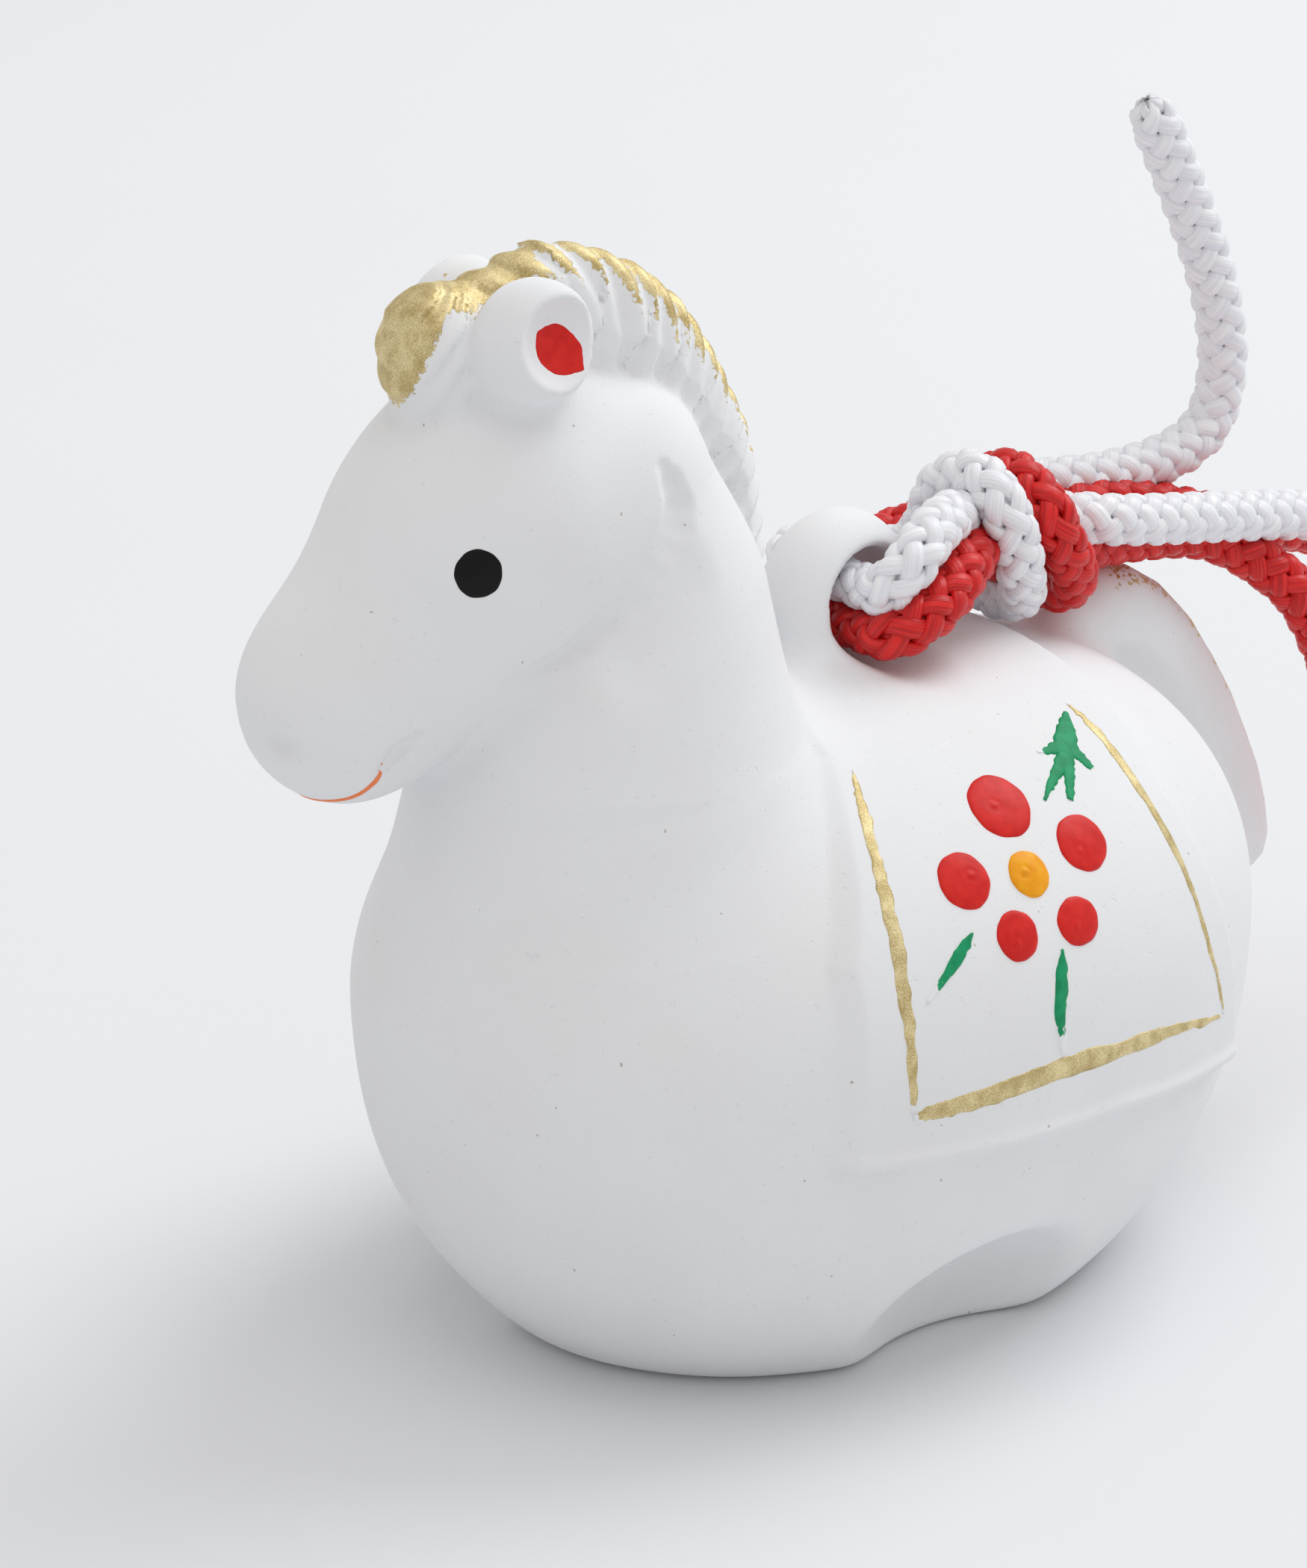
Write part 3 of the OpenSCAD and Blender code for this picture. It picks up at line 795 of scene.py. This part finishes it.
def thinned(points, faces):
    """The same surface in fewer triangles, finest where it bends most."""
    mesh = bpy.data.meshes.new("raw")
    mesh.from_pydata(points.tolist(), [], faces)
    work = bpy.data.objects.new("raw", mesh)
    bpy.context.collection.objects.link(work)
    fewer = work.modifiers.new("fewer", "DECIMATE")
    fewer.ratio = min(1.0, BODY_TRIANGLES / (2.0 * len(faces)))
    shown = work.evaluated_get(bpy.context.evaluated_depsgraph_get())
    done = bpy.data.meshes.new_from_object(shown)
    out = np.empty(len(done.vertices) * 3, np.float32)
    done.vertices.foreach_get("co", out)
    kept = [tuple(p.vertices) for p in done.polygons]
    bpy.data.objects.remove(work)
    for used in (mesh, done):
        bpy.data.meshes.remove(used)
    return out.reshape(-1, 3).astype(float), kept


def gilding(points):
    """How thickly gold was brushed on the mane, forelock and tail, from 0 to 1."""
    x, y, z = points[:, 0], points[:, 1] - EGG_Y, points[:, 2]
    groove, off, s = flutes(y, z)
    ahead, aside = in_head(x, y)
    reach = np.interp(s, [6, 9, 13, 16, 20, 24, 28, 31, 35, 40],
                      [1.4, 1.5, 1.7, 2.1, 2.9, 3.0, 2.6, 2.2, 1.5, 1.3])
    strong = np.interp(s, [6, 22, 27, 31, 34, 40, 42], [1.0, 1.0, 0.95, 0.8, 0.55, 0.4, 0.0])
    ridge = np.clip(1.25 - (off + 1.3 * groove) / reach, 0.0, 1.0) * strong
    ridge = ridge * smoothstep((4.2 - np.abs(x - mane_middle(y, z))) / 0.6)
    ridge = ridge * smoothstep((s - 7.0) / 1.5) * (z > 36.0)
    from_front = 0.91 * (12.7 - ahead) + 0.42 * np.abs(aside - 0.3)
    lock = np.maximum(smoothstep((0.45 * (z - 50.2) - from_front) / 1.2 + 0.5),
                      0.9 * smoothstep((z - 56.8) / 1.0))
    lock = lock * smoothstep((3.4 - np.hypot(aside - 0.3, 0.6 * (ahead - 10.0))) / 0.5)
    lock = lock * smoothstep((z - 51.4) / 2.0)
    back_edge = along_line(y, z, TAIL_EDGE)[0]
    specks = 0.36 * smoothstep((1.6 - back_edge) / 0.8) * smoothstep((y - 21.0) / 3.0) * (np.abs(x) < 3)
    return np.maximum.reduce([ridge, lock, specks])


def make_bell(material):
    points, faces = clay_mesh()
    return mesh_object("bell_clay", points, faces, material, "bell", ("bell_body",),
                       {"gild": gilding(points)}, clay_normal(points))


# ---- Enamel ----

# How far a dab and a stroke reach down into the clay
DAB_FOOT, STROKE_FOOT = 0.12, 0.1


class Patch:
    """Dabs and strokes of paint that follow the clay, gathered into one piece."""

    def __init__(self):
        self.points, self.faces, self.paint, self.count = [], [], [], 0

    def put(self, points, faces, paint):
        self.faces += [tuple(i + self.count for i in f) for f in faces]
        self.points.append(points)
        self.paint.append(paint)
        self.count += len(points)

    def make(self, name, material, slot):
        mesh_object(name, np.vstack(self.points), self.faces, material, "bell", (name,),
                    {"paint": np.concatenate(self.paint)})


def flank(side, places):
    """Points on the horse's flank from (y, z) places of the side view."""
    q = np.array(places, float)
    p = np.stack([np.full(len(q), 24.0 * side), q[:, 0] + EGG_Y, q[:, 1]], 1)
    for _ in range(40):
        p[:, 0] -= side * 0.8 * clay_at(p)
    return p


def from_head(aside, ahead, z):
    """A place in the head's frame, in the part's frame."""
    x = -ahead * math.sin(TURN) + aside * math.cos(TURN)
    y = -ahead * math.cos(TURN) - aside * math.sin(TURN)
    return (x, y + TURN_Y + EGG_Y, z)


def dab(patch, centre, size, rise, seed, tilt=0.0, pointed=0.0, nipple=0.0):
    """A drop of enamel of size (along the tilt, across it) on the clay at centre, its ends more or less
    pointed, with the little peak that the brush leaves."""
    rng = np.random.default_rng(seed)
    wobble = rng.uniform(0, 2 * math.pi, 3)
    peak = rng.uniform(-0.18, 0.18, 2)
    around, rings = 56, 15
    a = np.linspace(0, 2 * math.pi, around, endpoint=False)
    centre = onto_clay(np.array([centre], float))
    n = clay_normal(centre)[0]
    up = unit(np.array([0.0, 0.0, 1.0]) - n * n[2])
    side = np.cross(up, n)
    c, s = math.cos(tilt), math.sin(tilt)
    e1, e2 = side * c + up * s, -side * s + up * c
    power = 2.0 + 0.3 * pointed - pointed * np.cos(a) ** 2
    edge = (np.abs(np.cos(a)) ** power + np.abs(np.sin(a)) ** power) ** (-1.0 / power)
    edge = edge * (1 + 0.02 * np.sin(2 * a + wobble[0]) + 0.012 * np.sin(5 * a + wobble[1])
                   + 0.006 * np.sin(11 * a + wobble[2]))
    rho = np.linspace(0, 1, rings + 1)[1:] ** 0.8
    u = rho[:, None] * edge * np.cos(a) * size[0] / 2
    v = rho[:, None] * edge * np.sin(a) * size[1] / 2
    uv = np.vstack([[[0.0, 0.0]], np.stack([u.ravel(), v.ravel()], 1)])
    flat = onto_clay(centre + uv[:, :1] * e1 + uv[:, 1:] * e2)
    normals = clay_normal(flat)
    r = np.concatenate([[0.0], np.repeat(rho, around)])
    lift = rise * (1 - r ** 5) ** 0.5 * (0.86 + 0.14 * np.cos(math.pi * r))
    lift += 0.1 * rise * np.sin(3 * uv[:, 0] + wobble[0]) * np.sin(2.4 * uv[:, 1] + wobble[1]) * (1 - r ** 2)
    if nipple:
        off = np.hypot(uv[:, 0] - peak[0] * size[0], uv[:, 1] - peak[1] * size[1])
        lift += nipple * (np.exp(-(off / 0.13) ** 2) - 0.35 * np.exp(-((off - 0.32) / 0.12) ** 2))
    top = flat + normals * lift[:, None]
    under = flat[-around:] - normals[-around:] * DAB_FOOT
    middle = flat[:1] - normals[:1] * DAB_FOOT
    points = np.vstack([top, under, middle])
    faces = [(0, 1 + j, 1 + (j + 1) % around) for j in range(around)]
    faces += [tuple(reversed(f)) for f in strip_faces(rings + 1, around, 1)]
    last = len(points) - 1
    low = 1 + rings * around
    faces += [(last, low + (j + 1) % around, low + j) for j in range(around)]
    patch.put(points, faces, np.concatenate([1.0 - 0.25 * r ** 8, np.ones(around + 1)]))


def curve_through(places, n):
    """n even points on a smooth curve through a few places."""
    p = np.array(places, float)
    p = np.vstack([2 * p[0] - p[1], p, 2 * p[-1] - p[-2]])
    t = np.linspace(0, len(places) - 1, n)
    i = np.minimum(t.astype(int), len(places) - 2)
    return spline(p[i], p[i + 1], p[i + 2], p[i + 3], (t - i)[:, None])


def stroke(patch, line, widths, rise, ragged, seed, fade=(0.0, 0.0)):
    """A brush stroke along points near the clay. The widths are spread evenly along it, and it thins out
    over the shares of its length that fade gives for its start and end."""
    rng = np.random.default_rng(seed)
    n, m = len(line), 9
    line = onto_clay(np.asarray(line, float))
    ahead = unit(np.gradient(line, axis=0))
    normal = clay_normal(line)
    across = unit(np.cross(normal, ahead))
    s = np.linspace(0, 1, n)
    w = np.interp(s, np.linspace(0, 1, len(widths)), widths) / 2
    t = np.linspace(-1, 1, m)
    shake = np.stack([np.interp(s, np.linspace(0, 1, n // 2), rng.normal(0, ragged, n // 2))
                      for _ in (0, 1)], 1)
    offset = t[None] * w[:, None] + np.where(t < 0, shake[:, :1], shake[:, 1:]) * t ** 4
    flat = onto_clay((line[:, None] + across[:, None] * offset[..., None]).reshape(-1, 3), 3)
    normals = clay_normal(flat)
    bow = np.tile(rise * (1 - 0.85 * t ** 4), n)
    top = (flat + normals * bow[:, None]).reshape(n, m, 3)
    under = (flat - normals * STROKE_FOOT).reshape(n, m, 3)[:, ::-1]
    ring = np.concatenate([top, under], 1)
    faces = strip_faces(n, 2 * m)
    faces += [tuple(reversed(range(2 * m))), tuple(range((n - 1) * 2 * m, n * 2 * m))]
    paint = np.ones(n)
    if fade[0]:
        paint *= smoothstep(s / fade[0] * 0.9 + 0.1)
    if fade[1]:
        paint *= smoothstep((1 - s) / fade[1] * 0.9 + 0.1)
    paint = paint[:, None] * (1 - 0.35 * np.abs(np.concatenate([t, t])) ** 6)[None]
    patch.put(ring.reshape(-1, 3), faces, paint.ravel())


# Where the enamel lies, as (y, z) in the side view: each dab with its size, each stroke with its widths,
# and each green one with its fades
PETALS = [((-1.5, 30.1), (3.6, 3.8)), ((2.1, 27.8), (3.3, 3.2)), ((-0.3, 24.7), (2.8, 2.6)),
          ((-4.4, 24.9), (2.6, 2.6)), ((-6.0, 27.7), (3.0, 3.1))]
CENTRE = ((-2.2, 27.3), (2.5, 2.5))
GOLD_STROKES = [
    ([(-7.3, 32.2), (-8.4, 31.0), (-9.8, 28.9), (-10.9, 26.3), (-11.8, 22.5), (-12.0, 17.5)],
     [0.1, 0.4, 0.6, 0.68, 0.7, 0.72, 0.74, 0.72, 0.55, 0.35]),
    ([(-12.0, 17.3), (-9.1, 17.4), (-2.7, 17.7), (5.4, 17.2), (12.0, 15.9)],
     [0.35, 0.9, 1.05, 1.1, 1.1, 1.0, 0.75, 0.45, 0.15]),
    ([(7.9, 32.3), (8.2, 31.4), (8.3, 29.1), (9.0, 25.0), (10.1, 20.7), (12.0, 16.0)],
     [0.1, 0.35, 0.6, 0.68, 0.66, 0.58, 0.5, 0.4, 0.3, 0.15])]
GREEN_STROKES = [
    ([(7.3, 32.1), (6.1, 31.6), (4.8, 31.0)], [0.2, 0.8, 1.2, 1.5, 1.3], (0, 0)),
    ([(5.3, 31.3), (4.2, 31.3), (3.1, 31.4)], [1.0, 0.7, 0.15], (0, 0.4)),
    ([(5.4, 31.1), (5.6, 30.7), (5.8, 30.2)], [0.9, 0.8, 0.5], (0, 0)),
    ([(4.8, 31.0), (2.8, 30.4), (1.3, 29.8)], [0.9, 0.6, 0.15], (0, 0)),
    ([(4.9, 31.0), (3.8, 30.2), (2.9, 29.5)], [0.9, 0.65, 0.4], (0, 0)),
    ([(-6.9, 25.5), (-7.8, 24.9), (-9.0, 24.0), (-10.6, 22.9)],
     [0.1, 0.5, 0.65, 0.7, 0.5, 0.3, 0.1], (0, 0.5)),
    ([(-1.9, 23.7), (-2.4, 22.2), (-2.8, 20.6), (-2.7, 18.4)],
     [0.1, 0.7, 0.85, 0.85, 0.75, 0.55, 0.3], (0, 0.55))]


def make_flowers(red):
    petals, centres, gold, leaves = Patch(), Patch(), Patch(), Patch()
    for side in (1, -1):
        for i, (place, size) in enumerate(PETALS):
            dab(petals, flank(side, [place])[0], size, 0.22, 10 + i, nipple=0.05)
        dab(centres, flank(side, [CENTRE[0]])[0], CENTRE[1], 0.26, 21, nipple=0.12)
        for i, (places, widths) in enumerate(GOLD_STROKES):
            stroke(gold, flank(side, curve_through(places, 90)), widths, 0.05, 0.06, 30 + i, (0.05, 0.05))
        for i, (places, widths, fade) in enumerate(GREEN_STROKES):
            # Each stroke rises a little higher than the last, so that they don't lie in one surface
            rise = 0.06 + 0.006 * i
            stroke(leaves, flank(side, curve_through(places, 40)), widths, rise, 0.04, 40 + i, fade)
    petals.make("petal_dots", red, "red_enamel")
    yellow = enamel_material("yellow_enamel", (0.92, 0.41, 0.012), (0.86, 0.33, 0.008), 0.42)
    centres.make("flower_centres", yellow, "yellow_enamel")
    gold.make("gold_border", gold_material(), "gold_paint")
    green = enamel_material("green_enamel", (0.012, 0.33, 0.135), (0.006, 0.25, 0.095), 0.5, dry=True)
    leaves.make("leaf_strokes", green, "green_enamel")


def make_face(red):
    eyes, ears, mouth = Patch(), Patch(), Patch()
    for side in (1, -1):
        drop = EAR_DROP if side < 0 else 0.0
        dab(eyes, from_head(7.0 * side, 10.6, 45.4), (2.4, 2.4), 0.1, 50)
        dab(ears, from_head(6.1 * side, 5.7, 55.9 - drop), (3.2, 2.4), 0.06, 52,
            tilt=-0.8 * side, pointed=0.8)
    line = [(4.7, 14.7, 35.4), (4.0, 15.1, 34.5), (3.1, 15.8, 33.5), (1.7, 17.0, 32.8), (0.0, 17.5, 32.6)]
    line += [(-p[0], *p[1:]) for p in reversed(line[:-1])]
    stroke(mouth, [from_head(*p) for p in curve_through(line, 70)],
           [0.15, 0.32, 0.36, 0.36, 0.3, 0.36, 0.36, 0.32, 0.15], 0.04, 0.01, 60)
    black = enamel_material("black_enamel", (0.002, 0.002, 0.002), (0.003, 0.003, 0.003), 0.3)
    eyes.make("eyes", black, "black_enamel")
    ears.make("ear_linings", red, "red_enamel")
    orange = enamel_material("orange_enamel", (0.90, 0.19, 0.045), (0.86, 0.28, 0.12), 0.5)
    mouth.make("mouth_line", orange, "orange_enamel")


def make_enamel():
    red = enamel_material("red_enamel", (0.70, 0.022, 0.016), (0.60, 0.014, 0.012), 0.42)
    make_flowers(red)
    make_face(red)


def make_pellet():
    """The loose ball of clay, rolled by hand."""
    centre = sum((Vector(corner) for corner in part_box("clay_pellet")), Vector()) / 2 / MM
    rows, columns, radius = 40, 64, 3.9
    up = np.linspace(0, math.pi, rows + 2)[1:-1]
    a = np.linspace(0, 2 * math.pi, columns, endpoint=False)
    ring = np.stack([np.sin(up)[:, None] * np.cos(a), np.sin(up)[:, None] * np.sin(a),
                     np.cos(up)[:, None] + 0 * a], -1).reshape(-1, 3)
    way = np.vstack([ring, [[0, 0, 1], [0, 0, -1]]])
    lump = 0.06 * (np.sin(3.1 * way[:, 0] + 1.0) * np.sin(2.7 * way[:, 1]) + np.sin(4.0 * way[:, 2] + 2.0))
    points = np.array(centre) + way * (radius + lump)[:, None]
    top, bottom = rows * columns, rows * columns + 1
    faces = strip_faces(rows, columns)
    faces += [(top, (j + 1) % columns, j) for j in range(columns)]
    low = (rows - 1) * columns
    faces += [(bottom, low + j, low + (j + 1) % columns) for j in range(columns)]
    mesh_object("pellet_clay", points, [tuple(reversed(f)) for f in faces], clay_material(), "pellet",
                ("clay_pellet",))


def make_floor():
    reach = 1600.0
    points = [(x * reach, y * reach, 0.0) for y in (-1, 1) for x in (-1, 1)]
    floor = mesh_object("floor", points, [(0, 1, 3, 2)], floor_material(), None)


def make_light_room():
    world = bpy.data.worlds.new("room")
    world.use_nodes = True
    ground = world.node_tree.nodes["Background"]
    ground.inputs["Color"].default_value = (1.0, 0.98, 0.955, 1.0)
    ground.inputs["Strength"].default_value = 0.68
    bpy.context.scene.world = world
    make_light("key", 172.0, 48.0, 900.0, 620.0, 3.4, (0.93, 0.97, 1.0))
    make_light("top", 60.0, 80.0, 900.0, 700.0, 1.2, (1.0, 1.0, 1.0))


bpy.context.scene.view_settings.view_transform = "Standard"
make_camera()
# The second colour of each braid is a darker copy of the first, a painted shade for its filament streaks
white = braid_material("white_braid", (0.90, 0.905, 0.93), (0.80, 0.805, 0.87), (1.0, 1.0, 1.0))
make_cord("white", WHITE_ROUTE, white, 38.2)
red = braid_material("red_braid", (0.76, 0.014, 0.012), (0.50, 0.004, 0.005), (1.0, 0.5, 0.5))
make_cord("red", RED_ROUTE, red, 35.8)
make_bell(bisque_material())
make_enamel()
make_pellet()
make_floor()
make_light_room()
